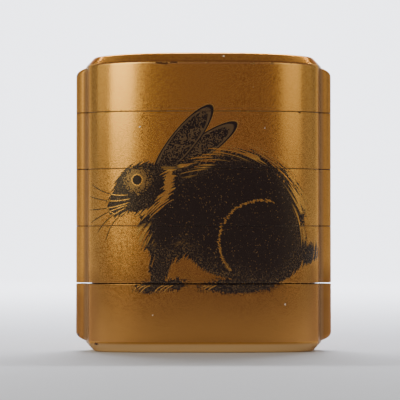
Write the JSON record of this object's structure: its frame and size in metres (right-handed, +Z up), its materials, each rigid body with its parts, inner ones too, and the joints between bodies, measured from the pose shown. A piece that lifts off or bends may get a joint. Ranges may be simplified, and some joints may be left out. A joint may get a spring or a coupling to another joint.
{
  "type": "inro case",
  "caption": "Flat carrying case of stacked gold-lacquered trays that slip into each other under a lid, with a flat cord duct down each narrow side.",
  "frame": {"origin": "middle of the flat underside", "axes": "+Z up from the underside to the lid, X across the width, the decorated front faces -Y"},
  "size_m": [0.065, 0.024, 0.076],
  "materials": {
    "gold_lacquer": "satin gold lacquer over thin wood, with a polished black and gold picture on the front"
  },
  "bodies": {
    "root": {"bottom_case": "gold_lacquer", "third_case": "gold_lacquer", "second_case": "gold_lacquer", "first_case": "gold_lacquer", "lid": "gold_lacquer"}
  },
  "joints": []
}
